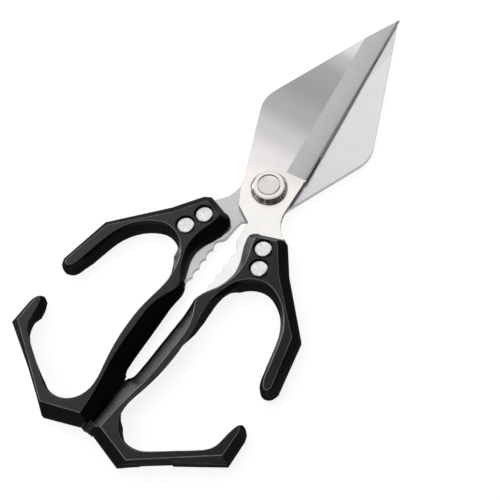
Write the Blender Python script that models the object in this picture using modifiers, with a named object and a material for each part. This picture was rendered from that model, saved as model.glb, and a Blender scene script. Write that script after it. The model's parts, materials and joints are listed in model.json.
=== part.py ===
"""Poultry shears, lying flat: two steel halves on a pivot bolt, with open hook handles.

The pivot axis is Z, the blades point along +Y, and the handles rest on Z = 0.
Lengths below are millimetres until to_metres() is applied to a finished mesh.
"""

from math import acos, atan2, cos, pi, radians, sin

import bmesh
import bpy
from mathutils import Matrix, Vector

MM = 0.001
GAP = 0.3                  # clearance between neighbouring pieces

# Handles: two scales each, meeting on the shear plane.
HANDLE_HALF = 5.5          # half the handle's thickness, and the height of the shear plane
FACE_EDGE = 0.3            # small edge break round each outer face
LOOP_ROUND = 1.4
BAR_UNDERCUT = 1.8         # how far the bar's finger side leans in at the shear plane
WAIST = 3.5                # how much nearer the centre the bar's back face lies
SHOULDER = 2.3             # soft roll of the bar's finger side under the neck
CLOSED_HALF_GAP = 0.15     # half the gap between the closed handles
CLOSED_STEP = 0.6          # how far the gap behind is offset, so that it can't be seen through
VALLEY_INSET = 2.5         # least slope of the bar's inner side behind the shear plane
LEVELS = (HANDLE_HALF, HANDLE_HALF - FACE_EDGE, 4.3, 2.4, 1.6, GAP / 2)
CHAMFER = (0.0, 0.0, 0.25, 0.8, 1.0, 1.0)
VEE = (0.0, 0.0, 0.22, 0.70, 0.79, 1.0)
ROUND = (0.0, 0.0, 0.75, 1.0, 1.0, 1.0)
RIDGE = (0.0, 0.0, 0.5, 0.1, 0.95, 1.0)
TUCKED = (0.0, 0.0, 0.0, 0.0, -0.2, 0.5)
LEAN_FRONT = (0.0, 0.0, -0.15, -0.4, -0.5, -0.7)
LEAN_BACK = (-1.4, -1.35, -1.25, -1.0, -0.9, -0.7)

# The long lower arm is thinner behind: shallow near the foot, deeper towards the hook.
ARM_STEP_X = 34.0
ARM_SHALLOW = 0.9
ARM_DEEP = 5.0
ARM_ANGLE = 36.3

# Steel halves: blade, neck, tang and jaw in one plate.
STEEL = 2.2
TIP = Vector((0.5, 104.2))
HEEL = Vector((11.1, 10.8))
BELLY = Vector((-27.5, 36.0))
BELLY_RADIUS = 15.0
SHOULDER_POINT = Vector((-11.9, -1.5))
GRIND_WIDTH = 9.3
GRIND_EDGE = 0.55          # steel left at the cutting edge by the wide grind
EDGE_WIDTH = 1.1
EDGE_TOP = 0.74            # steel left where the cutting edge's own bevel starts
EDGE_LEFT = 0.12
SCALLOPS = 4
SCALLOP_PITCH = 4.95
SCALLOP_DEPTH = 1.0
FIRST_CUSP = Vector((4.5, -34.6))

# Pivot.
BOLT_SHANK_R = 4.0
BOLT_HEAD_R = 7.5
BOLT_BEVEL = 0.5
NUT_BASE_R = 7.7
NUT_TOP_R = 6.7
NUT_EDGE = 0.45            # bright bevel round the nut's top
NUT_FOOT = 0.6             # upright wall below the nut's cone
NUT_RIBS = 36
NUT_GROOVE = 0.7
CAP_R = 4.6
CAP_THICK = 0.8
CAP_BEVEL = 0.25
WASHER_R = 5.7
WASHER_THICK = 0.45
WASHER_RISE = 0.2          # how far the cone of the spring washer rises to its bore

# Rivets: a barrel from the front and a pin from the back.
RIVET_POINTS = (Vector((14.6, -25.5)), Vector((18.15, -33.6)))
RIVET_HEAD_R = 3.45
RIVET_HEAD_THICK = 0.95
RIVET_DOME = 0.25
RIVET_WELL_R = 4.25
RIVET_WELL_FLOOR = 3.9
RIVET_SHANK_R = 2.5
RIVET_PIN_R = 1.2
RIVET_CROWN = 0.6          # how far below its head the barrel's bore ends

# Closing stops at the foot of the handles.
STOP_TOP_Y = -119.7
STOP_FOOT_Y = -124.0
STOP_RIBS = 2
STOP_RIB_WIDE = 0.8
STOP_RIB_PITCH = 1.2
STOP_RIB_LOW = 2.0         # height of the first rib above the shear plane
STOP_RIB_STEP = 0.75
STOP_CORE = 1.5

ROUND_STEPS = 40
CUTTER_REACH = 8.0         # how far from the shear plane the cutters through a handle go


# ---------------------------------------------------------------- scene helpers

def clear_scene():
    for thing in list(bpy.data.objects):
        bpy.data.objects.remove(thing, do_unlink=True)
    for group in list(bpy.data.collections):
        bpy.data.collections.remove(group)


def new_collection(name):
    group = bpy.data.collections.new(name)
    bpy.context.scene.collection.children.link(group)
    return group


def material(name, colour, roughness, metallic):
    made = bpy.data.materials.new(name)
    made.use_nodes = True
    shader = made.node_tree.nodes["Principled BSDF"]
    shader.inputs["Base Color"].default_value = (*colour, 1.0)
    shader.inputs["Roughness"].default_value = roughness
    shader.inputs["Metallic"].default_value = metallic
    made.diffuse_color = (*colour, 1.0)
    return made


def object_from(name, bm, half, finish=None):
    """A mesh object from a bmesh in millimetres about the pivot and the shear plane."""
    bmesh.ops.scale(bm, vec=(MM, MM, MM), verts=bm.verts)
    bmesh.ops.recalc_face_normals(bm, faces=bm.faces)
    mesh = bpy.data.meshes.new(name)
    bm.to_mesh(mesh)
    bm.free()
    made = bpy.data.objects.new(name, mesh)
    made.parent = half["empty"]
    half["parts" if finish else "cutters"].objects.link(made)
    if finish:
        mesh.materials.append(finish)
    else:
        made.hide_render = True
        made.display_type = "WIRE"
    return made


def new_half(name, turn, parts, cutters):
    """An empty on the pivot axis that carries one half of the shears."""
    empty = bpy.data.objects.new(name, None)
    empty.location.z = HANDLE_HALF * MM
    empty.rotation_euler.y = turn
    parts.objects.link(empty)
    return {"empty": empty, "parts": parts, "cutters": cutters, "up": 1 if turn == 0 else -1}


def cut(target, cutter, operation="DIFFERENCE"):
    modifier = target.modifiers.new(cutter.name, "BOOLEAN")
    modifier.operation = operation
    modifier.solver = "EXACT"
    modifier.object = cutter


def shade(thing, angle=35.0):
    thing.data.shade_smooth()
    thing.data.set_sharp_from_angle(angle=radians(angle))


# ---------------------------------------------------------------- shape helpers

def plate(points, low, high):
    """A flat outline filled and given thickness between two heights."""
    curve = bpy.data.curves.new("outline", "CURVE")
    curve.dimensions = "2D"
    curve.fill_mode = "BOTH"
    curve.extrude = (high - low) / 2
    spline = curve.splines.new("POLY")
    spline.points.add(len(points) - 1)
    for point, (x, y) in zip(spline.points, points):
        point.co = (x, y, 0.0, 1.0)
    spline.use_cyclic_u = True
    guide = bpy.data.objects.new("outline", curve)
    bpy.context.scene.collection.objects.link(guide)
    bpy.context.view_layer.update()
    depsgraph = bpy.context.evaluated_depsgraph_get()
    mesh = bpy.data.meshes.new_from_object(guide.evaluated_get(depsgraph))
    bm = bmesh.new()
    bm.from_mesh(mesh)
    bmesh.ops.remove_doubles(bm, verts=bm.verts, dist=0.001)
    bmesh.ops.dissolve_limit(bm, angle_limit=0.001, verts=bm.verts, edges=bm.edges)
    bmesh.ops.translate(bm, vec=(0, 0, (low + high) / 2), verts=bm.verts)
    bpy.data.objects.remove(guide, do_unlink=True)
    bpy.data.curves.remove(curve)
    bpy.data.meshes.remove(mesh)
    return bm


def turned(name, profile, half, finish, at=(0.0, 0.0), up=1, steps=ROUND_STEPS):
    """A (radius, height) profile, given down its outer side, screwed once round its axis."""
    points = [(radius, up * height) for radius, height in profile][::up]
    bm = bmesh.new()
    corners = [bm.verts.new((radius, 0.0, height)) for radius, height in points]
    for first, second in zip(corners, corners[1:]):
        bm.edges.new((first, second))
    if points[0][0] > 0.0:
        bm.edges.new((corners[-1], corners[0]))
    made = object_from(name, bm, half, finish)
    made.location = (at[0] * MM, at[1] * MM, 0.0)
    screw = made.modifiers.new("turn", "SCREW")
    screw.axis = "Z"
    screw.angle = 2 * pi
    screw.steps = steps
    screw.render_steps = steps
    screw.use_merge_vertices = True
    screw.merge_threshold = 0.00001
    screw.use_smooth_shade = True
    return made


def box(low, high):
    bm = bmesh.new()
    size = Vector(high) - Vector(low)
    centre = (Vector(high) + Vector(low)) / 2
    place = Matrix.Translation(centre) @ Matrix.Diagonal((*size, 1.0))
    bmesh.ops.create_cube(bm, size=1.0, matrix=place)
    return bm


def cylinder(centre, radius, low, high, steps=ROUND_STEPS):
    bm = bmesh.new()
    place = Matrix.Translation((centre[0], centre[1], (low + high) / 2))
    bmesh.ops.create_cone(
        bm,
        cap_ends=True,
        segments=steps,
        radius1=radius,
        radius2=radius,
        depth=high - low,
        matrix=place,
    )
    return bm


def arc_corner(before, corner, after, radius, steps=6):
    """The points of a fillet that replaces a sharp corner."""
    inward = (before - corner).normalized()
    outward = (after - corner).normalized()
    half = acos(inward.dot(outward)) / 2
    centre = corner + (inward + outward).normalized() * radius / sin(half)
    first = corner + inward * radius * cos(half) / sin(half)
    last = corner + outward * radius * cos(half) / sin(half)
    start = atan2(first.y - centre.y, first.x - centre.x)
    sweep = atan2(last.y - centre.y, last.x - centre.x) - start
    sweep = (sweep + pi) % (2 * pi) - pi
    turns = [start + sweep * step / steps for step in range(steps + 1)]
    return [centre + radius * Vector((cos(turn), sin(turn))) for turn in turns]


def scallop(first, last, depth, steps=6):
    """Points between two cusps along an arc that bites into the steel on the +X side."""
    chord = last - first
    radius = (chord.length ** 2 / 4 + depth ** 2) / (2 * depth)
    inward = Vector((-chord.y, chord.x)).normalized()
    if inward.x < 0:
        inward = -inward
    centre = (first + last) / 2 + inward * (depth - radius)
    half = acos((radius - depth) / radius)
    base = atan2(inward.y, inward.x)
    turns = [base + half * (1 - 2 * step / steps) for step in range(1, steps)]
    return [centre + radius * Vector((cos(turn), sin(turn))) for turn in turns]


# ---------------------------------------------------------------- steel halves

TANG = (
    (18.0, -16.9),
    (19.0, -20.5),
    (22.4, -28.5),
    (21.8, -33.8),
    (15.6, -36.9),
    (11.8, -41.4),
    (8.8, -47.0),
    (4.4, -54.2),
)


JAW_TOP = (
    (5.3, -32.6),
    (5.4, -31.4),
    (4.6, -30.1),
    (3.2, -28.8),
    (2.6, -27.2),
    (2.4, -24.0),
    (2.2, -21.0),
    (1.7, -18.0),
)


def jaw():
    """The toothed jaw's edge, from the foot of the jaw up to the neck."""
    pitch = Vector((0.1, SCALLOP_PITCH))
    cusps = [FIRST_CUSP - pitch * step for step in range(SCALLOPS, -1, -1)]
    points = []
    for lower, upper in zip(cusps, cusps[1:]):
        points.append(lower)
        points += scallop(upper, lower, SCALLOP_DEPTH)[::-1]
    points.append(cusps[-1])
    return points + [Vector(point) for point in JAW_TOP]


def steel_outline():
    neck = [Vector(point) for point in ((-6.4, -13.1), (-10.3, -6.0), tuple(SHOULDER_POINT))]
    belly = arc_corner(SHOULDER_POINT, BELLY, TIP, BELLY_RADIUS)
    heel = [HEEL, HEEL - Vector((0.5, 0.6)), Vector((10.9, 8.6)), Vector((11.7, -5.6))]
    heel += [Vector(point) for point in ((12.1, -8.2), (12.9, -10.6), (14.3, -12.7), (16.0, -14.6))]
    tang = [Vector(point) for point in TANG]
    return jaw() + neck + belly + [TIP] + heel + tang


def grind_cutter(name, width, top, left, half):
    """A block whose sloping underside leaves `left` of steel at its edge and `top` inside."""
    along = (TIP - HEEL).normalized()
    across = Vector((along.y, -along.x))
    slope = atan2(top - left, width)
    bm = box((0.0, 0.5, 0.0), (width + 3.0, 120.0, 6.0))
    bmesh.ops.rotate(bm, cent=(0, 0, 0), matrix=Matrix.Rotation(slope, 3, "Y"), verts=bm.verts)
    bmesh.ops.translate(bm, vec=(-width, 0, GAP / 2 + top), verts=bm.verts)
    turn = Matrix(((across.x, along.x, 0), (across.y, along.y, 0), (0, 0, 1)))
    bmesh.ops.transform(bm, matrix=turn.to_4x4(), verts=bm.verts)
    bmesh.ops.translate(bm, vec=(HEEL.x, HEEL.y, 0), verts=bm.verts)
    return object_from(name, bm, half)


def steel_half(word, half, finish):
    """One steel plate: blade on one side of the pivot, tang and jaw on the other."""
    body = plate(steel_outline(), GAP / 2, GAP / 2 + STEEL)
    made = object_from(f"{word}_blade", body, half, finish)
    cut(made, grind_cutter(f"{word}_wide_grind", GRIND_WIDTH, STEEL, GRIND_EDGE, half))
    cut(made, grind_cutter(f"{word}_edge_grind", EDGE_WIDTH, EDGE_TOP, EDGE_LEFT, half))
    bore = cylinder((0, 0), BOLT_SHANK_R + GAP, -1.0, 4.0)
    cut(made, object_from(f"{word}_pivot_bore", bore, half))
    for number, point in enumerate(RIVET_POINTS):
        hole = cylinder(point, RIVET_SHANK_R + GAP, -1.0, 4.0)
        cut(made, object_from(f"{word}_tang_hole_{number}", hole, half))
    shade(made, 20.0)


# ---------------------------------------------------------------- handles

def fade(value, low, high):
    """0 at low, 1 at high, smooth between."""
    share = min(max((value - low) / (high - low), 0.0), 1.0)
    return share * share * (3 - 2 * share)


def waist(y):
    """1 along the slim bar of the handle, 0 at its neck and foot."""
    return fade(y, -64.0, -73.0) * fade(y, -119.0, -108.0)


# Outline rows are x, y, then how far the parting line stands outside the outer face.
# A sharp corner gives two flares: for the edge before it and for the edge after it.
NECK_END = ((18.2, -20.6, 4.2, 3.9), (17.0, -19.9, 3.9, 3.4))
NECK_CORNER = ((10.1, -22.3, 3.4), (9.5, -22.5, 3.8), (9.15, -22.9, 4.4), (9.1, -23.6, 5.0))
INNER_SIDE = (
    (9.7, -27.0, 5.2),
    (11.2, -31.2, 4.9),
    (12.0, -35.5, 3.9),
    (12.1, -40.0, 3.0),
    (11.0, -44.8, 2.5),
    (9.0, -49.6, 2.2),
    (6.6, -53.6, 1.5),
    (4.8, -56.4, 1.7),
    (5.1, -59.4, 2.4),
    (6.9, -63.0, 4.2),
    (8.5, -67.4, 5.7),
    (9.3, -73.2, 6.5),
    (9.1, -80.5, 6.5),
    (8.8, -89.5, 6.4),
    (8.2, -96.0, 6.2),
    (7.8, -98.6, 6.6),
    (7.3, -101.0, 7.9),
    (6.2, -107.5, 6.9),
    (5.3, -114.0, 6.0),
)
FOOT = ((4.8, -120.2, 5.5, 4.2), (20.7, -125.1, 4.2, 1.2))
HOOK = (49.7, -103.8, 2.8, 2.9)
HOOK_TIP = (
    (49.6, -94.0, 2.7),
    (49.2, -92.1, 2.4),
    (48.4, -91.3, 1.7),
    (47.6, -92.0, 1.1),
    (47.0, -93.8, 0.9),
    (46.5, -96.2, 0.6),
)
HOOK_ROOT = ((46.1, -99.0), (45.3, -102.4), (42.6, -105.9), (34.0, -112.0))
LOWER_LOOP = (
    (26.0, -117.7, 0.4),
    (22.4, -119.7, 0.6),
    (18.4, -120.3, 0.6),
    (14.8, -119.6, 0.6),
    (11.8, -117.7, 0.5),
    (9.3, -114.6, 0.3),
)
BAR_SIDE = (
    (8.0, -110.2),
    (8.2, -105.2),
    (9.4, -99.8),
    (10.7, -93.6),
    (11.6, -87.0),
    (12.0, -80.0),
    (11.9, -74.0),
    (11.1, -67.6),
    (10.1, -61.6),
    (9.8, -56.6),
    (10.4, -51.6),
    (11.8, -46.8),
)
UPPER_LOOP = (
    (14.2, -42.6),
    (17.6, -39.5),
    (21.6, -37.8),
    (25.6, -37.5),
    (30.2, -39.1),
    (35.0, -42.4),
    (39.0, -47.2),
    (41.6, -52.6),
    (43.2, -59.2),
    (44.5, -65.4),
)
ARM_TIP = (
    (45.3, -69.6, 1.4),
    (46.1, -72.1, 1.4),
    (47.3, -73.8, 1.4),
    (48.6, -74.3, 1.6),
    (49.6, -73.5, 2.2),
    (49.9, -71.8, 2.7),
)
OUTER_SIDE = ((45.4, -51.0, 3.2, 3.5), (26.1, -31.6, 4.1, 4.2))


def station(x, y, front, back, soft=True):
    """One point round the handle, with its reach before and after it at each level of each face."""
    return {"at": Vector((x, y)), "front": front, "back": back, "soft": soft}


def spread(profile, before, after=None):
    last = before if after is None else after
    return tuple((part * before, part * last) for part in profile)


def plain(rows, profile):
    made = []
    for x, y, *flare in rows:
        sides = spread(profile, *flare)
        made.append(station(x, y, sides, sides, len(flare) == 1))
    return made


def inner_stations():
    made = []
    for x, y, size in INNER_SIDE:
        share = min(WAIST * waist(y), size - VALLEY_INSET) / size
        back = tuple(share + (1 - share) * part for part in VEE)
        made.append(station(x, y, spread(VEE, size), spread(back, size)))
    return made


def bar_stations():
    made = []
    for x, y in BAR_SIDE:
        lean = waist(y)
        roll = fade(y, -56.0, -47.0)
        depth = [1 - level / HANDLE_HALF for level in LEVELS]
        low = 0.6 * roll - BAR_UNDERCUT * lean
        bump = (0.0, 0.0, 1.0, 0.6, 0.3, 0.0)
        front = [low * part + SHOULDER * roll * extra for part, extra in zip(depth, bump)]
        far = -WAIST * max(lean, 0.4 * roll)
        back = [far + (low - far) * part for part in depth]
        made.append(station(x, y, spread(front, 1.0), spread(back, 1.0)))
    return made


def arm_stations():
    """The lower arm's outer side: ridged in front, tucked in behind as far as the step."""
    start = Vector(FOOT[1][:2])
    end = Vector(HOOK[:2])
    made = []
    step = ((ARM_STEP_X - 0.3, TUCKED), (ARM_STEP_X + 0.3, CHAMFER))
    for x, back in ((start.x + 3.0, TUCKED), *step):
        share = (x - start.x) / (end.x - start.x)
        place = start.lerp(end, share)
        size = 1.2 + 1.2 * share * share
        made.append(station(place.x, place.y, spread(RIDGE, size), spread(back, size), False))
    return made


def eased(outline):
    """The outline with a point on a cubic through its neighbours between each two soft ones."""
    made = []
    count = len(outline)
    for index, here in enumerate(outline):
        after = outline[(index + 1) % count]
        made.append(here)
        if not (here["soft"] and after["soft"]):
            continue
        before = outline[index - 1] if outline[index - 1]["soft"] else here
        beyond = outline[(index + 2) % count]
        beyond = beyond if beyond["soft"] else after
        at = (9 * (here["at"] + after["at"]) - before["at"] - beyond["at"]) / 16
        sides = {}
        for face in ("front", "back"):
            reaches = [(first[1] + second[0]) / 2 for first, second in zip(here[face], after[face])]
            sides[face] = tuple((reach, reach) for reach in reaches)
        made.append({"at": at, "soft": True, **sides})
    return made


def handle_stations():
    """The right handle's outline, counter-clockwise seen from above, starting at the neck."""
    outline = plain(NECK_END, CHAMFER) + plain(NECK_CORNER, CHAMFER) + inner_stations()
    outline += plain(FOOT, CHAMFER) + arm_stations() + plain((HOOK, *HOOK_TIP), CHAMFER)
    front = spread(LEAN_FRONT, 1.0)
    back = spread(LEAN_BACK, 1.0)
    outline += [station(x, y, front, back) for x, y in HOOK_ROOT]
    outline += plain(LOWER_LOOP, ROUND) + bar_stations()
    outline += plain([(x, y, LOOP_ROUND) for x, y in UPPER_LOOP], ROUND)
    return eased(outline + plain(ARM_TIP, CHAMFER) + plain(OUTER_SIDE, CHAMFER))


def outward_normals(points):
    """For each corner, the outward normals of the edges before and after it."""
    made = []
    for index, point in enumerate(points):
        before = (point - points[index - 1]).normalized()
        after = (points[(index + 1) % len(points)] - point).normalized()
        made.append((Vector((before.y, -before.x)), Vector((after.y, -after.x))))
    return made


def shifted(normals, before, after):
    """How far a corner moves when the edge before it and the edge after it each move outwards."""
    first, second = normals
    along = first.dot(second)
    if along > 0.8:
        return (first + second) / (1 + along) * (before + after) / 2
    shift = first * (before - along * after) + second * (after - along * before)
    return shift / (1 - along * along)


def scale_body(face, rise):
    """One handle scale, lofted from its outer face down to the shear plane; rise is its side."""
    limit = CLOSED_HALF_GAP
    if face == "back":
        limit += CLOSED_STEP * rise
    outline = handle_stations()
    normals = outward_normals([entry["at"] for entry in outline])
    bm = bmesh.new()
    rings = []
    for number, level in enumerate(LEVELS):
        ring = []
        for entry, pair in zip(outline, normals):
            before, after = entry[face][number]
            inset = FACE_EDGE if number == 0 else 0.0
            place = entry["at"] + shifted(pair, before - inset, after - inset)
            ring.append(bm.verts.new((max(place.x, limit), place.y, rise * level)))
        rings.append(ring)
    for upper, lower in zip(rings, rings[1:]):
        for index in range(len(outline)):
            after = (index + 1) % len(outline)
            bm.faces.new((upper[index], upper[after], lower[after], lower[index]))
    bm.faces.new(rings[0])
    bm.faces.new(rings[-1])
    return bm


def tang_pocket(word, half):
    """The room that the tang and jaw need in the scale over them."""
    outline = steel_outline()
    area = sum(a.x * b.y - b.x * a.y for a, b in zip(outline, outline[1:] + outline[:1]))
    out = GAP if area > 0 else -GAP
    normals = outward_normals(outline)
    points = [point + shifted(pair, out, out) for point, pair in zip(outline, normals)]
    return object_from(f"{word}_tang_pocket", plate(points, -1.0, STEEL + 1.5 * GAP), half)


def arm_relief(word, half):
    """What the lower arm lacks behind: two blocks along it, stepping deeper towards the hook."""
    start = Vector(FOOT[1][:2])
    turn = Matrix.Rotation(radians(ARM_ANGLE), 4, "Z")
    length = (ARM_STEP_X - start.x) / cos(radians(ARM_ANGLE))
    bm = bmesh.new()
    for low, high, depth in ((4.0, length, ARM_SHALLOW), (length, 33.0, ARM_DEEP)):
        size = (high - low, 12.0, CUTTER_REACH - depth)
        place = Matrix.Translation((start.x, start.y, 0)) @ turn
        drop = (CUTTER_REACH + depth) / 2 * half["up"]
        place = place @ Matrix.Translation(((low + high) / 2, 2.6, -drop))
        bmesh.ops.create_cube(bm, size=1.0, matrix=place @ Matrix.Diagonal((*size, 1.0)))
    return object_from(f"{word}_arm_relief", bm, half)


def stop_pocket(word, half):
    tall = STOP_RIB_LOW + (STOP_RIBS - 1) * STOP_RIB_STEP + GAP
    deep = CLOSED_HALF_GAP + (STOP_RIBS - 1) * STOP_RIB_PITCH + STOP_RIB_WIDE + GAP
    bm = box((-2.0, STOP_FOOT_Y - 6.0, -tall), (deep, STOP_TOP_Y + GAP, tall))
    return object_from(f"{word}_stop_pocket", bm, half)


def closing_stop(word, half, finish):
    """A rubber block in the closing face, its ribs rising in steps up the slope beside it."""
    upper = []
    for rib in range(STOP_RIBS):
        near = CLOSED_HALF_GAP + rib * STOP_RIB_PITCH
        top = STOP_RIB_LOW + rib * STOP_RIB_STEP
        if rib:
            floor = STOP_CORE + (rib - 1) * STOP_RIB_STEP
            upper += [(near - STOP_RIB_PITCH + STOP_RIB_WIDE, floor), (near, floor)]
        upper += [(near, top), (near + STOP_RIB_WIDE, top)]
    outline = upper + [(x, -z) for x, z in reversed(upper)]
    bm = plate(outline, -STOP_TOP_Y, -STOP_FOOT_Y)
    bmesh.ops.rotate(bm, cent=(0, 0, 0), matrix=Matrix.Rotation(pi / 2, 3, "X"), verts=bm.verts)
    object_from(f"{word}_stop", bm, half, finish)


def handle_half(word, half, finish):
    """The two scales of one handle, bored for the rivets and hollowed for the tang and the stop."""
    up = half["up"]
    pocket = tang_pocket(word, half)
    stop = stop_pocket(word, half)
    relief = arm_relief(word, half)
    for face, rise in (("front", up), ("back", -up)):
        scale = object_from(f"{word}_handle_{face}", scale_body(face, rise), half, finish)
        if rise > 0:
            cut(scale, pocket)
        for number, point in enumerate(RIVET_POINTS):
            hole = cylinder(point, RIVET_SHANK_R + GAP, -CUTTER_REACH, CUTTER_REACH)
            cut(scale, object_from(f"{word}_{face}_rivet_hole_{number}", hole, half))
            floors = sorted((rise * RIVET_WELL_FLOOR, rise * CUTTER_REACH))
            well = cylinder(point, RIVET_WELL_R, *floors)
            cut(scale, object_from(f"{word}_{face}_rivet_well_{number}", well, half))
        cut(scale, stop)
        if face == "back":
            cut(scale, relief)
        shade(scale, 25.0)


# ---------------------------------------------------------------- turned pieces

def rivets(word, half, finish):
    """Two cutlery rivets: a headed barrel from the front takes a headed pin from the back."""
    under = RIVET_WELL_FLOOR + GAP
    rim = under + RIVET_HEAD_THICK
    bore = RIVET_PIN_R + GAP
    head = [
        (0.0, rim + RIVET_DOME),
        (RIVET_HEAD_R * 0.55, rim + RIVET_DOME * 0.75),
        (RIVET_HEAD_R - 0.3, rim),
        (RIVET_HEAD_R, rim - 0.2),
        (RIVET_HEAD_R, under),
    ]
    foot = -(under - GAP - 0.1)
    end = under - RIVET_CROWN
    barrel = head + [(RIVET_SHANK_R, under), (RIVET_SHANK_R, foot), (bore, foot), (bore, end)]
    barrel.append((0.0, end))
    pin = [(0.0, end - GAP), (RIVET_PIN_R, end - GAP), (RIVET_PIN_R, -under)]
    pin += [(radius, -height) for radius, height in reversed(head)]
    for number, point in enumerate(RIVET_POINTS):
        place = "upper" if number == 0 else "lower"
        turned(f"{word}_{place}_rivet_barrel", barrel, half, finish, point, half["up"], 24)
        turned(f"{word}_{place}_rivet_pin", pin, half, finish, point, half["up"], 24)


def pivot(half, steel, dark, cap_finish):
    """Bolt from the back, coned washer, ribbed nut, and the plain disc that closes the nut."""
    seat = STEEL + 1.5 * GAP
    top = HANDLE_HALF
    cap_floor = top - CAP_THICK - GAP - 0.05
    shank = BOLT_SHANK_R
    bore = shank + GAP
    bolt = [(0.0, cap_floor), (shank - 0.4, cap_floor), (shank, cap_floor - 0.4), (shank, -seat)]
    bolt += [(BOLT_HEAD_R, -seat), (BOLT_HEAD_R, BOLT_BEVEL - top)]
    bolt += [(BOLT_HEAD_R - BOLT_BEVEL, -top), (0.0, -top)]
    turned("pivot_bolt", bolt, half, steel)

    ceiling = seat + WASHER_THICK + WASHER_RISE + GAP
    foot = seat + NUT_FOOT
    edge = top - NUT_EDGE
    nut = [(CAP_R + GAP, top), (NUT_TOP_R - NUT_EDGE, top), (NUT_TOP_R, edge)]
    nut += [(NUT_BASE_R, foot), (NUT_BASE_R, seat), (WASHER_R + GAP, seat)]
    nut += [(WASHER_R + GAP, ceiling), (bore, ceiling), (bore, cap_floor), (CAP_R + GAP, cap_floor)]
    nut = turned("pivot_nut", nut, half, dark, steps=72)

    slope = atan2(NUT_BASE_R - NUT_TOP_R, edge - foot)
    middle = ((NUT_BASE_R + NUT_TOP_R) / 2 + NUT_GROOVE / 4, 0, (edge + foot) / 2)
    grooves = bmesh.new()
    for rib in range(NUT_RIBS):
        place = Matrix.Rotation(2 * pi * (rib + 0.5) / NUT_RIBS, 4, "Z")
        place = place @ Matrix.Translation(middle)
        place = place @ Matrix.Rotation(-slope, 4, "Y") @ Matrix.Rotation(pi / 4, 4, "Z")
        place = place @ Matrix.Diagonal((NUT_GROOVE, NUT_GROOVE, edge - foot + 0.2, 1.0))
        bmesh.ops.create_cube(grooves, size=1.0, matrix=place)
    cut(nut, object_from("nut_grooves", grooves, half))

    washer = [(WASHER_R, seat + WASHER_THICK), (WASHER_R, seat)]
    washer += [(bore + 0.1, seat + WASHER_RISE), (bore + 0.1, seat + WASHER_RISE + WASHER_THICK)]
    turned("spring_washer", washer, half, steel)

    under = cap_floor + GAP
    face = under + CAP_THICK
    cap = [(0.0, face), (CAP_R - CAP_BEVEL, face), (CAP_R, face - CAP_BEVEL)]
    cap += [(CAP_R, under), (0.0, under)]
    turned("nut_cap", cap, half, cap_finish)


# ---------------------------------------------------------------- build

def build():
    clear_scene()
    parts = new_collection("poultry_shears")
    cutters = new_collection("cutters")
    steel = material("satin_steel", (0.72, 0.72, 0.73), 0.32, 1.0)
    polished = material("polished_steel", (0.80, 0.80, 0.81), 0.18, 1.0)
    black = material("black_moulding", (0.012, 0.012, 0.013), 0.42, 0.0)
    rubber = material("grey_rubber", (0.10, 0.10, 0.105), 0.70, 0.0)

    front = new_half("front_half", 0.0, parts, cutters)
    rear = new_half("rear_half", pi, parts, cutters)
    for blade, handle, half in (("front", "right", front), ("rear", "left", rear)):
        steel_half(blade, half, steel)
        handle_half(handle, half, black)
        rivets(handle, half, polished)
        closing_stop(handle, half, rubber)
    pivot(front, steel, polished, polished)


build()
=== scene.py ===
"""Looks for the poultry shears: satin steel, textured black handles, polished rivets and nut.

The shears lie on Z = 0 with the pivot axis on Z and the blades along +Y. Lengths in the constants
and profiles are millimetres, and MM turns them into metres; lights and camera are in metres.
"""

import json
from math import pi, radians

import bmesh
import bpy
from mathutils import Matrix, Vector

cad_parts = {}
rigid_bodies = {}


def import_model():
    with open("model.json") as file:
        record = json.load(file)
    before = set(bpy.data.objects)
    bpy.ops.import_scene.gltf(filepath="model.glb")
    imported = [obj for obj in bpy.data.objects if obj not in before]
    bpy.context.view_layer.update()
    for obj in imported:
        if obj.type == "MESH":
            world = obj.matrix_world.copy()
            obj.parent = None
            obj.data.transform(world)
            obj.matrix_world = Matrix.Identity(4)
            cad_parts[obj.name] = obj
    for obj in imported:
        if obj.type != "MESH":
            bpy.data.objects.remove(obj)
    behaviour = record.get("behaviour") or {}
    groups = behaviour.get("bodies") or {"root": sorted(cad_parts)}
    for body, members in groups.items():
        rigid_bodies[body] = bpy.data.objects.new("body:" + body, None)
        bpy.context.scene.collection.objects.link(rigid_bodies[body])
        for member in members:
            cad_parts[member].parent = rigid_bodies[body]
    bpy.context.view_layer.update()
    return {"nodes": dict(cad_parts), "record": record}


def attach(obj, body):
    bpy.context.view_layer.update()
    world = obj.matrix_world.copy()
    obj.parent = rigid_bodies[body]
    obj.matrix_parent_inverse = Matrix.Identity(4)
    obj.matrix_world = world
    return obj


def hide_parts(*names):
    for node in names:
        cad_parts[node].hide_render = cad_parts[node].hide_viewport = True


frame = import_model()
nodes = frame["nodes"]

MM = 0.001
SHEAR_PLANE = 5.5          # height at which the two steel halves meet
HEEL = (11.1, 10.8)        # where the right blade's cutting edge starts
ALONG = (-0.1128, 0.9936)  # the direction of that edge, towards the tip
BAND_WIDTH = 9.3           # the ground band along the edge
RIVETS = {"upper": (14.6, -25.5), "lower": (18.15, -33.6)}
TURNS = 96                 # steps round each turned piece

# Widths of the rounded edges.
MOULDED_EDGE = 0.10
FRONT_STEEL_EDGE = 0.09
REAR_STEEL_EDGE = 0.04
RUBBER_EDGE = 0.15

# The narrow edge break round a handle's outer face, as distances from the shear plane; it takes a
# painted highlight.
EDGE_BREAK = (5.2, 5.47)
NECK_TOP = 9.5             # the front plate's upright walls take a painted dark reflection below this Y
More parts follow.
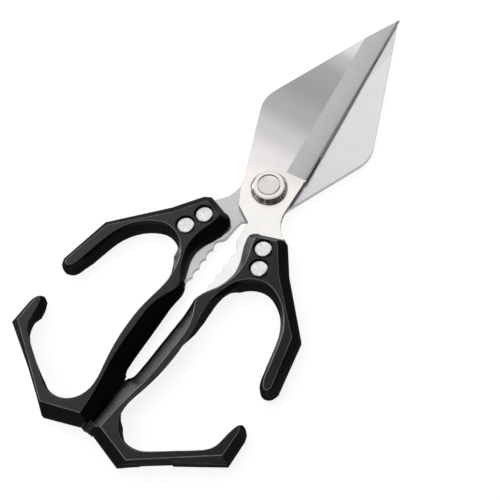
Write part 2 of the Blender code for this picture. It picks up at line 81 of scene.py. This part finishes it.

# Softboxes: name, place, the point it faces, its two sides, its radiance, and the pieces it lights.
LIGHT = 1.0                # radiance of the overhead softbox
SOFTBOXES = (
    ("overhead", (-0.35, 0.38, 0.95), (-0.35, 0.38, 0.0), (1.15, 1.4), LIGHT, "bright"),
    ("overhead_shaded", (-0.70, 0.38, 0.95), (-0.70, 0.38, 0.0), (0.92, 1.4), 1.35, "moulding"),
    ("front_low", (0.65, -1.2, 0.38), (0.0, -0.08, 0.0), (0.7, 0.45), 1.3, "moulding"),
    ("glow_below", (0.0, 0.0, -1.0), (0.0, 0.0, 0.0), (3.0, 3.0), 0.035, "moulding"),
    ("front", (-0.30, -0.82, 0.95), (-0.30, -0.82, 0.0), (1.2, 0.55), 1.4, None),
    ("left", (-1.3, 0.05, 0.22), (0.0, 0.0, 0.02), (0.75, 0.6), 5.0, None),
    ("below", (0.0, 0.0, -1.0), (0.0, 0.0, 0.0), (3.0, 3.0), 0.60, "metal"),
)
LEFT_TINT = (0.97, 0.95, 1.0)

# Rings of four upright softboxes: name, height, tallness, radiance, and the pieces they light.
RINGS = (
    ("glow", -0.42, 0.72, 0.25, "moulding"),
    ("side", 0.80, 1.6, 0.7, "metal"),
)
RING_RADIUS = 1.6

# Camera: place, and its right, down and forward directions.
CAMERA_PLACE = (0.14197, -0.17546, 0.40541)
CAMERA_RIGHT = (0.8221, 0.56575, -0.06383)
CAMERA_DOWN = (0.48502, -0.75464, -0.4419)
CAMERA_AHEAD = (-0.29818, 0.33233, -0.89479)
CAMERA_LENS = 79.2

# Painted reflection on the steel: its brightness along the shears, Y in mm, then display red, green
# and blue.
FRONT_PAINTED_REFLECTION = (
    (-55, (250, 249, 248)),
    (-30, (250, 248, 246)),
    (-12, (254, 249, 245)),
    (0, (253, 246, 243)),
    (12, (238, 234, 233)),
    (24, (208, 206, 206)),
    (36, (178, 177, 177)),
    (50, (162, 161, 162)),
    (62, (168, 167, 168)),
    (70, (189, 188, 190)),
    (78, (224, 223, 226)),
    (90, (245, 245, 247)),
)
REAR_PAINTED_REFLECTION = (
    (-55, (213, 213, 214)),
    (-34, (197, 197, 199)),
    (-22, (196, 196, 198)),
    (-12, (206, 206, 208)),
    (4, (216, 215, 218)),
    (30, (225, 224, 227)),
    (100, (230, 229, 232)),
)


# ---------------------------------------------------------------- node helpers

class Graph:
    """A material's node tree, built a node at a time."""

    def __init__(self, name):
        self.material = bpy.data.materials.new(name)
        self.material.use_nodes = True
        self.tree = self.material.node_tree
        self.shader = self.tree.nodes["Principled BSDF"]
        self.place = self.add("ShaderNodeTexCoord").outputs["Object"]

    def add(self, kind, **settings):
        node = self.tree.nodes.new(kind)
        for key, value in settings.items():
            setattr(node, key, value)
        return node

    def link(self, source, target):
        if isinstance(source, (int, float, tuple)):
            target.default_value = source
        else:
            self.tree.links.new(source, target)

    def math(self, operation, first, second):
        node = self.add("ShaderNodeMath", operation=operation)
        self.link(first, node.inputs[0])
        self.link(second, node.inputs[1])
        return node.outputs[0]

    def dot(self, vector, direction):
        node = self.add("ShaderNodeVectorMath", operation="DOT_PRODUCT")
        self.link(vector, node.inputs[0])
        node.inputs[1].default_value = direction
        return node.outputs["Value"]

    def stretch(self, scale, turn=0.0):
        """Object coordinates turned about Z and scaled, for grain that runs one way."""
        node = self.add("ShaderNodeMapping", vector_type="TEXTURE")
        node.inputs["Rotation"].default_value = (0.0, 0.0, turn)
        node.inputs["Scale"].default_value = tuple(1.0 / part for part in scale)
        self.link(self.place, node.inputs["Vector"])
        return node.outputs["Vector"]

    def noise(self, vector, scale=1.0, detail=3.0, roughness=0.5):
        node = self.add("ShaderNodeTexNoise")
        self.link(vector, node.inputs["Vector"])
        node.inputs["Scale"].default_value = scale
        node.inputs["Detail"].default_value = detail
        node.inputs["Roughness"].default_value = roughness
        return node.outputs["Fac"]

    def spread(self, value, low, high, to_low, to_high, smooth=False):
        """The value carried from one range to another, held at its ends."""
        node = self.add("ShaderNodeMapRange")
        if smooth:
            node.interpolation_type = "SMOOTHSTEP"
        self.link(value, node.inputs["Value"])
        ends = {"From Min": low, "From Max": high, "To Min": to_low, "To Max": to_high}
        for key, number in ends.items():
            node.inputs[key].default_value = number
        return node.outputs["Result"]

    def blend(self, share, first, second):
        node = self.add("ShaderNodeMix", data_type="RGBA")
        self.link(share, node.inputs["Factor"])
        for socket, colour in ((node.inputs["A"], first), (node.inputs["B"], second)):
            if isinstance(colour, tuple):
                socket.default_value = (*colour, 1.0)
            else:
                self.tree.links.new(colour, socket)
        return node.outputs["Result"]

    def ramp(self, value, stops):
        node = self.add("ShaderNodeValToRGB")
        node.color_ramp.interpolation = "EASE"
        while len(node.color_ramp.elements) < len(stops):
            node.color_ramp.elements.new(0.5)
        for element, (place, colour) in zip(node.color_ramp.elements, stops):
            element.position = place
            element.color = (*colour, 1.0)
        self.link(value, node.inputs["Fac"])
        return node.outputs["Color"]

    def from_centre(self, centre):
        """Distance from an upright axis, and the flat direction from it."""
        shift = self.add("ShaderNodeVectorMath", operation="SUBTRACT")
        self.link(self.place, shift.inputs[0])
        shift.inputs[1].default_value = (centre[0] * MM, centre[1] * MM, 0.0)
        flat = self.add("ShaderNodeVectorMath", operation="MULTIPLY")
        self.link(shift.outputs[0], flat.inputs[0])
        flat.inputs[1].default_value = (1.0, 1.0, 0.0)
        length = self.add("ShaderNodeVectorMath", operation="LENGTH")
        self.link(flat.outputs[0], length.inputs[0])
        facing = self.add("ShaderNodeVectorMath", operation="NORMALIZE")
        self.link(flat.outputs[0], facing.inputs[0])
        return length.outputs["Value"], facing.outputs[0]

    def bump(self, height, strength, distance):
        node = self.add("ShaderNodeBump")
        node.inputs["Strength"].default_value = strength
        node.inputs["Distance"].default_value = distance
        self.link(height, node.inputs["Height"])
        self.link(node.outputs["Normal"], self.shader.inputs["Normal"])

    def set(self, **values):
        for key, value in values.items():
            self.link(value, self.shader.inputs[key.replace("_", " ")])


# ---------------------------------------------------------------- materials

def shown(tone):
    """The metal colour that looks this bright under the overhead softbox."""
    return tuple(min(((part / 255 + 0.055) / 1.055) ** 2.4 / LIGHT, 0.97) for part in tone)


def moulded_black(name, dark, light, rough, ior):
    """Near-black nylon with a fine spark-eroded texture."""
    graph = Graph(name)
    grain = graph.noise(graph.place, 2600.0, 2.0, 0.6)
    cloud = graph.noise(graph.place, 90.0, 3.0)
    share = graph.spread(cloud, 0.3, 0.7, 0.0, 1.0)
    colour = graph.blend(share, (dark, dark, dark * 1.06), (light, light * 0.98, light))
    roughness = graph.spread(grain, 0.3, 0.7, rough - 0.04, rough + 0.04)
    graph.set(Base_Color=colour, Roughness=roughness, IOR=ior)
    graph.bump(grain, 0.20, 0.00005)
    return graph.material


def ground_steel(name, side, reflection_tones):
    """Satin steel: a faint grain on the flat, cross-ground marks on the ground face by the edge,
    and a painted reflection that makes the flat lighter and darker along the shears.
    """
    graph = Graph(name)
    along_edge = (side * ALONG[0], ALONG[1], 0.0)
    across = (side * ALONG[1], -ALONG[0], 0.0)
    turn = Vector(across).to_2d().angle_signed(Vector((1.0, 0.0)))
    long_grain = graph.noise(graph.stretch((1400.0, 160.0, 600.0), -turn), 1.0, 2.0, 0.4)
    cross_grain = graph.noise(graph.stretch((40.0, 1500.0, 300.0), -turn), 1.0, 4.0, 0.6)
    shift = graph.add("ShaderNodeVectorMath", operation="SUBTRACT")
    graph.link(graph.place, shift.inputs[0])
    shift.inputs[1].default_value = (side * HEEL[0] * MM, HEEL[1] * MM, 0.0)
    inside = graph.math("MULTIPLY", graph.dot(shift.outputs[0], across), -1.0)
    along = graph.dot(shift.outputs[0], along_edge)
    height = graph.dot(graph.place, (0.0, 0.0, 1.0))
    band = graph.spread(inside, (BAND_WIDTH - 0.1) * MM, (BAND_WIDTH + 0.1) * MM, 1.0, 0.0, True)
    band = graph.math("MULTIPLY", band, graph.spread(along, 0.4 * MM, 0.7 * MM, 0.0, 1.0, True))
    low, high = sorted((SHEAR_PLANE * MM, (SHEAR_PLANE + side * 0.5) * MM))
    ground = (0.0, 1.0) if side > 0 else (1.0, 0.0)
    band = graph.math("MULTIPLY", band, graph.spread(height, low, high, *ground))
    # Painted reflection: the flat's colour follows the listed tones along Y.
    first, last = reflection_tones[0][0], reflection_tones[-1][0]
    stops = [((y - first) / (last - first), shown(tone)) for y, tone in reflection_tones]
    lengthwise = graph.dot(graph.place, (0.0, 1.0, 0.0))
    flat = graph.ramp(graph.spread(lengthwise, first * MM, last * MM, 0.0, 1.0), stops)
    cloud = graph.noise(graph.place, 130.0, 4.0, 0.65)
    flat = graph.blend(graph.spread(cloud, 0.3, 0.7, 0.0, 0.10), flat, (0.30, 0.30, 0.31))
    marks = graph.spread(cross_grain, 0.25, 0.75, 0.0, 1.0)
    band_colour = graph.blend(marks, shown((183, 181, 181)), shown((194, 192, 192)))
    mix = graph.add("ShaderNodeMix", data_type="FLOAT")
    graph.link(band, mix.inputs["Factor"])
    graph.link(long_grain, mix.inputs["A"])
    graph.link(cross_grain, mix.inputs["B"])
    grain = mix.outputs["Result"]
    roughness = graph.spread(grain, 0.3, 0.7, 0.275, 0.295)
    graph.set(Base_Color=graph.blend(band, flat, band_colour), Roughness=roughness, Metallic=1.0)
    graph.bump(grain, 0.02, 0.0000012)
    return graph.material


def turned_steel(name, tone, roughness, centre, painted_sheen):
    """Steel with fine lathe rings, and painted light and shade in soft wedges round the axis,
    standing for the sheen the rings make.
    """
    graph = Graph(name)
    distance, facing = graph.from_centre(centre)
    joined = graph.add("ShaderNodeCombineXYZ")
    graph.link(distance, joined.inputs["X"])
    ring = graph.noise(joined.outputs[0], 9000.0, 2.0)
    # Painted sheen: soft wedges round the axis darken the colour.
    painted_wedges = graph.noise(facing, 1.1, 1.0)
    mottle = graph.noise(graph.place, 420.0, 2.0)
    share = graph.spread(graph.math("ADD", painted_wedges, mottle), 0.75, 1.25, 0.0, painted_sheen)
    colour = graph.blend(share, shown(tone), shown(tuple(part * 0.74 for part in tone)))
    varied = graph.spread(ring, 0.3, 0.7, roughness * 0.85, roughness * 1.15)
    graph.set(Base_Color=colour, Roughness=varied, Metallic=1.0)
    graph.bump(ring, 0.04, 0.000004)
    return graph.material


def blanked_steel_painted_dark():
    """The plate's blanked edge: duller than its ground faces, with upright drag marks, and a
    painted dark reflection in its colour.
    """
    graph = Graph("blanked_steel_painted_dark")
    marks = graph.noise(graph.stretch((1500.0, 1500.0, 90.0)), 1.0, 3.0)
    share = graph.spread(marks, 0.3, 0.7, 0.0, 1.0)
    # Painted dark reflection: the edge's colour is kept dark grey.
    colour = graph.blend(share, shown((104, 103, 104)), shown((142, 141, 142)))
    graph.set(Base_Color=colour, Roughness=graph.spread(marks, 0.3, 0.7, 0.38, 0.5), Metallic=1.0)
    graph.bump(marks, 0.05, 0.000004)
    return graph.material


def nut_steel():
    """Polished steel, with painted shade low on the ribbed cone of the nut, in patches round the
    axis.
    """
    graph = Graph("nut_steel")
    distance, facing = graph.from_centre((0.0, 0.0))
    # Painted shade: the ribbed cone's colour is darkened in patches round the axis.
    cone = graph.spread(distance, 6.55 * MM, 6.8 * MM, 0.0, 1.0, True)
    painted_shade = graph.spread(graph.noise(facing, 2.2, 3.0), 0.35, 0.6, 0.25, 1.0)
    share = graph.math("MULTIPLY", cone, painted_shade)
    colour = graph.blend(share, shown((236, 232, 230)), shown((118, 114, 112)))
    grain = graph.noise(graph.place, 3000.0, 2.0)
    graph.set(Base_Color=colour, Roughness=graph.spread(grain, 0.3, 0.7, 0.18, 0.24), Metallic=1.0)
    return graph.material


def grey_rubber():
    """Matt grey rubber with a coarse grain."""
    graph = Graph("grey_rubber")
    grain = graph.noise(graph.place, 1800.0, 3.0)
    colour = graph.blend(grain, (0.035, 0.035, 0.037), (0.06, 0.06, 0.063))
    graph.set(Base_Color=colour, Roughness=graph.spread(grain, 0.3, 0.7, 0.55, 0.75))
    graph.bump(grain, 0.3, 0.00004)
    return graph.material


def pale_floor():
    """Near-white paper that glows a little, so that the shears' shade on it stays faint."""
    graph = Graph("pale_floor")
    grain = graph.noise(graph.place, 12.0, 2.0)
    colour = graph.blend(grain, (0.44, 0.44, 0.445), (0.46, 0.46, 0.465))
    white = (1.0, 1.0, 1.0, 1.0)
    graph.set(Base_Color=colour, Roughness=0.9, Emission_Color=white, Emission_Strength=0.86)
    return graph.material


# ---------------------------------------------------------------- pieces

def highlit_edge_break(face):
    """True on the narrow edge break round a handle's outer face, which takes the painted highlight.
    """
    low, high = EDGE_BREAK
    return low < abs(face.calc_center_median().z / MM - SHEAR_PLANE) < high


def blanked_painted_dark(face):
    """True on the upright walls of the neck and jaw, and on their broken upper edge, which take the
    painted dark reflection.
    """
    centre = face.calc_center_median() / MM
    return centre.y < NECK_TOP and abs(face.normal.z) < 0.95


def show(node, body, bm, finishes, angle):
    """A piece made from the mesh in bm, riding on the body in place of the CAD node."""
    mesh = bpy.data.meshes.new(f"{node}_look")
    bm.to_mesh(mesh)
    bm.free()
    piece = bpy.data.objects.new(f"{node}_look", mesh)
    bpy.context.scene.collection.objects.link(piece)
    for finish in finishes:
        mesh.materials.append(finish)
    mesh.shade_smooth()
    mesh.set_sharp_from_angle(angle=radians(angle))
    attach(piece, body)
    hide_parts(node)
    return piece


def refined(node, body, width, finishes, angle=24.0, segments=3, chosen=None):
    """The CAD node's shape with its sharp edges rounded; chosen faces take the second finish."""
    bm = bmesh.new()
    bm.from_mesh(nodes[node].data)
    bmesh.ops.remove_doubles(bm, verts=bm.verts, dist=0.02 * MM)
    bmesh.ops.dissolve_limit(bm, angle_limit=radians(0.4), verts=bm.verts, edges=bm.edges)
    paired = [edge for edge in bm.edges if len(edge.link_faces) == 2]
    sharp = [edge for edge in paired if edge.calc_face_angle(0.0) > radians(angle)]
    bmesh.ops.bevel(
        bm,
        geom=sharp,
        offset=width * MM,
        offset_type="OFFSET",
        segments=segments,
        profile=0.5,
        affect="EDGES",
        clamp_overlap=False,
        miter_outer="ARC",
    )
    if chosen:
        for face in bm.faces:
            face.material_index = int(chosen(face))
    piece = show(node, body, bm, finishes, 38.0)
    weight = piece.modifiers.new("normals", "WEIGHTED_NORMAL")
    weight.keep_sharp = True
    return piece


def turned(node, body, centre, profile, finish):
    """A turned CAD node's profile, (radius, height above the shear plane), spun in finer steps."""
    bm = bmesh.new()
    centre = Vector((centre[0], centre[1], SHEAR_PLANE)) * MM
    rows = [centre + Vector((radius, 0.0, height)) * MM for radius, height in profile]
    corners = [bm.verts.new(row) for row in rows]
    edges = [bm.edges.new(pair) for pair in zip(corners, corners[1:])]
    bmesh.ops.spin(
        bm,
        geom=corners + edges,
        cent=centre,
        axis=(0, 0, 1),
        angle=2 * pi,
        steps=TURNS,
        use_merge=True,
    )
    bmesh.ops.remove_doubles(bm, verts=bm.verts, dist=0.001 * MM)
    bmesh.ops.recalc_face_normals(bm, faces=bm.faces)
    return show(node, body, bm, [finish], 25.0)


def rivet_head(radius=3.45, under=4.2, rim=5.15, dome=0.25):
    """The head's profile from its crown to its rim and down its side."""
    top = radius - 0.42
    crown = [(top * step / 6, rim + dome * (1 - (step / 6) ** 2)) for step in range(7)]
    return crown + [(radius - 0.10, rim - 0.16), (radius, rim - 0.32), (radius, under)]


def rivet_profile(node):
    """A barrel, its head up and its bore open below, or the pin that enters it, its head down."""
    head = rivet_head()
    if node.endswith("barrel"):
        return head + [(2.5, 4.2), (2.5, -3.8), (1.5, -3.8), (1.5, 3.6), (0.0, 3.6)]
    return [(radius, -height) for radius, height in head] + [(1.2, -4.2), (1.2, 3.3), (0.0, 3.3)]


def cap_profile(radius=4.6, top=5.45, thick=0.8):
    """A plain disc with a soft edge."""
    edge = [(radius - 0.35, top), (radius - 0.12, top - 0.1), (radius, top - 0.35)]
    return [(0.0, top), *edge, (radius, top - thick), (0.0, top - thick)]


def paint(node, finish):
    """The CAD node itself, with a better material."""
    source = nodes[node]
    source.data.materials.clear()
    source.data.materials.append(finish)
    return source


# ---------------------------------------------------------------- stage

def stage():
    """A plain floor just under the shears, left out of their reflections."""
    bpy.ops.mesh.primitive_plane_add(size=30.0, location=(0.0, 0.0, -0.0002))
    floor = bpy.context.object
    floor.name = "floor"
    floor.data.materials.append(pale_floor())
    floor.visible_glossy = False
    floor.visible_shadow = False
    return floor


def softbox(name, place, target, size, radiance, group):
    """A rectangular area light of a given radiance, which lights one group of pieces or all."""
    light = bpy.data.lights.new(name, "AREA")
    light.shape = "RECTANGLE"
    light.size = size[0]
    light.size_y = size[1]
    light.energy = radiance * pi * size[0] * size[1]
    holder = bpy.data.objects.new(name, light)
    holder.location = place
    facing = Vector(target) - Vector(place)
    holder.rotation_euler = facing.to_track_quat("-Z", "Y").to_euler()
    holder.light_linking.receiver_collection = group
    bpy.context.scene.collection.objects.link(holder)
    return holder


def studio(groups):
    """A pale world that only the camera sees, and the softboxes."""
    world = bpy.data.worlds.new("studio")
    world.use_nodes = True
    background = world.node_tree.nodes["Background"]
    background.inputs["Color"].default_value = (0.93, 0.93, 0.94, 1.0)
    world.cycles_visibility.diffuse = False
    world.cycles_visibility.glossy = False
    bpy.context.scene.world = world
    for name, place, target, size, radiance, group in SOFTBOXES:
        holder = softbox(name, place, target, size, radiance, groups.get(group))
        if name == "left":
            holder.data.color = LEFT_TINT
    for name, height, tall, radiance, group in RINGS:
        for number in range(4):
            turn = Matrix.Rotation(number * pi / 2, 3, "Z")
            place = turn @ Vector((RING_RADIUS, 0.0, height))
            size = (2 * RING_RADIUS, tall)
            softbox(f"{name}_{number}", place, (0.0, 0.0, height), size, radiance, groups[group])
    bpy.context.scene.view_settings.view_transform = "Standard"


def camera():
    lens = bpy.data.cameras.new("camera")
    lens.lens = CAMERA_LENS
    lens.sensor_width = 36.0
    lens.clip_start = 0.01
    holder = bpy.data.objects.new("camera", lens)
    axes = (Vector(CAMERA_RIGHT), -Vector(CAMERA_DOWN), -Vector(CAMERA_AHEAD))
    turn = Matrix(axes).transposed().to_4x4()
    holder.matrix_world = Matrix.Translation(Vector(CAMERA_PLACE)) @ turn
    bpy.context.scene.collection.objects.link(holder)
    bpy.context.scene.camera = holder


# ---------------------------------------------------------------- build

def rivet_finishes():
    """For each rivet, the steel turned about its own axis, and where that axis is."""
    made = {}
    for word, side in (("right", 1), ("left", -1)):
        for level, (x, y) in RIVETS.items():
            centre = (side * x, y)
            name = f"{word}_{level}"
            finish = turned_steel(f"{name}_rivet_steel", (243, 242, 242), 0.22, centre, 0.5)
            made[name] = (finish, centre)
    return made


def build():
    bodies = frame["record"]["behaviour"]["bodies"]
    groups = {name: bpy.data.collections.new(name) for name in ("metal", "moulding", "bright")}
    metal = groups["metal"].objects
    moulding = groups["moulding"].objects
    black = moulded_black("moulded_black", 0.0048, 0.0074, 0.36, 1.5)
    # Painted highlight: the same nylon made much lighter, for the edge break.
    painted_highlight = moulded_black("moulded_black_painted_highlight", 0.17, 0.34, 0.36, 1.6)
    front_steel = ground_steel("front_blade_steel", 1, FRONT_PAINTED_REFLECTION)
    rear_steel = ground_steel("rear_blade_steel", -1, REAR_PAINTED_REFLECTION)
    painted_dark_edge_steel = blanked_steel_painted_dark()
    pivot_steel = turned_steel("pivot_steel", (226, 222, 220), 0.24, (0.0, 0.0), 0.15)
    nut = nut_steel()
    rubber = grey_rubber()
    rivet_steel = rivet_finishes()
    for name, body in [(name, body) for body, names in bodies.items() for name in names]:
        if "handle" in name:
            # The edge break takes the painted highlight.
            pair = [black, painted_highlight]
            look = refined(name, body, MOULDED_EDGE, pair, 24.0, 2, highlit_edge_break)
            moulding.link(look)
        elif name == "front_blade":
            # Its upright walls take the painted dark reflection.
            pair = [front_steel, painted_dark_edge_steel]
            look = refined(name, body, FRONT_STEEL_EDGE, pair, 30.0, 2, blanked_painted_dark)
            metal.link(look)
        elif name == "rear_blade":
            metal.link(refined(name, body, REAR_STEEL_EDGE, [rear_steel], 30.0, 2))
        elif "rivet" in name:
            finish, centre = rivet_steel[name.rsplit("_rivet_", 1)[0]]
            metal.link(turned(name, body, centre, rivet_profile(name), finish))
        elif "stop" in name:
            moulding.link(refined(name, body, RUBBER_EDGE, [rubber]))
        elif name == "nut_cap":
            axis = (0.0, 0.0)
            metal.link(turned(name, body, axis, cap_profile(), pivot_steel))
        elif name == "pivot_nut":
            metal.link(paint(name, nut))
        else:
            metal.link(paint(name, pivot_steel))
    groups["bright"].children.link(groups["metal"])
    groups["bright"].objects.link(stage())
    studio(groups)
    camera()


build()
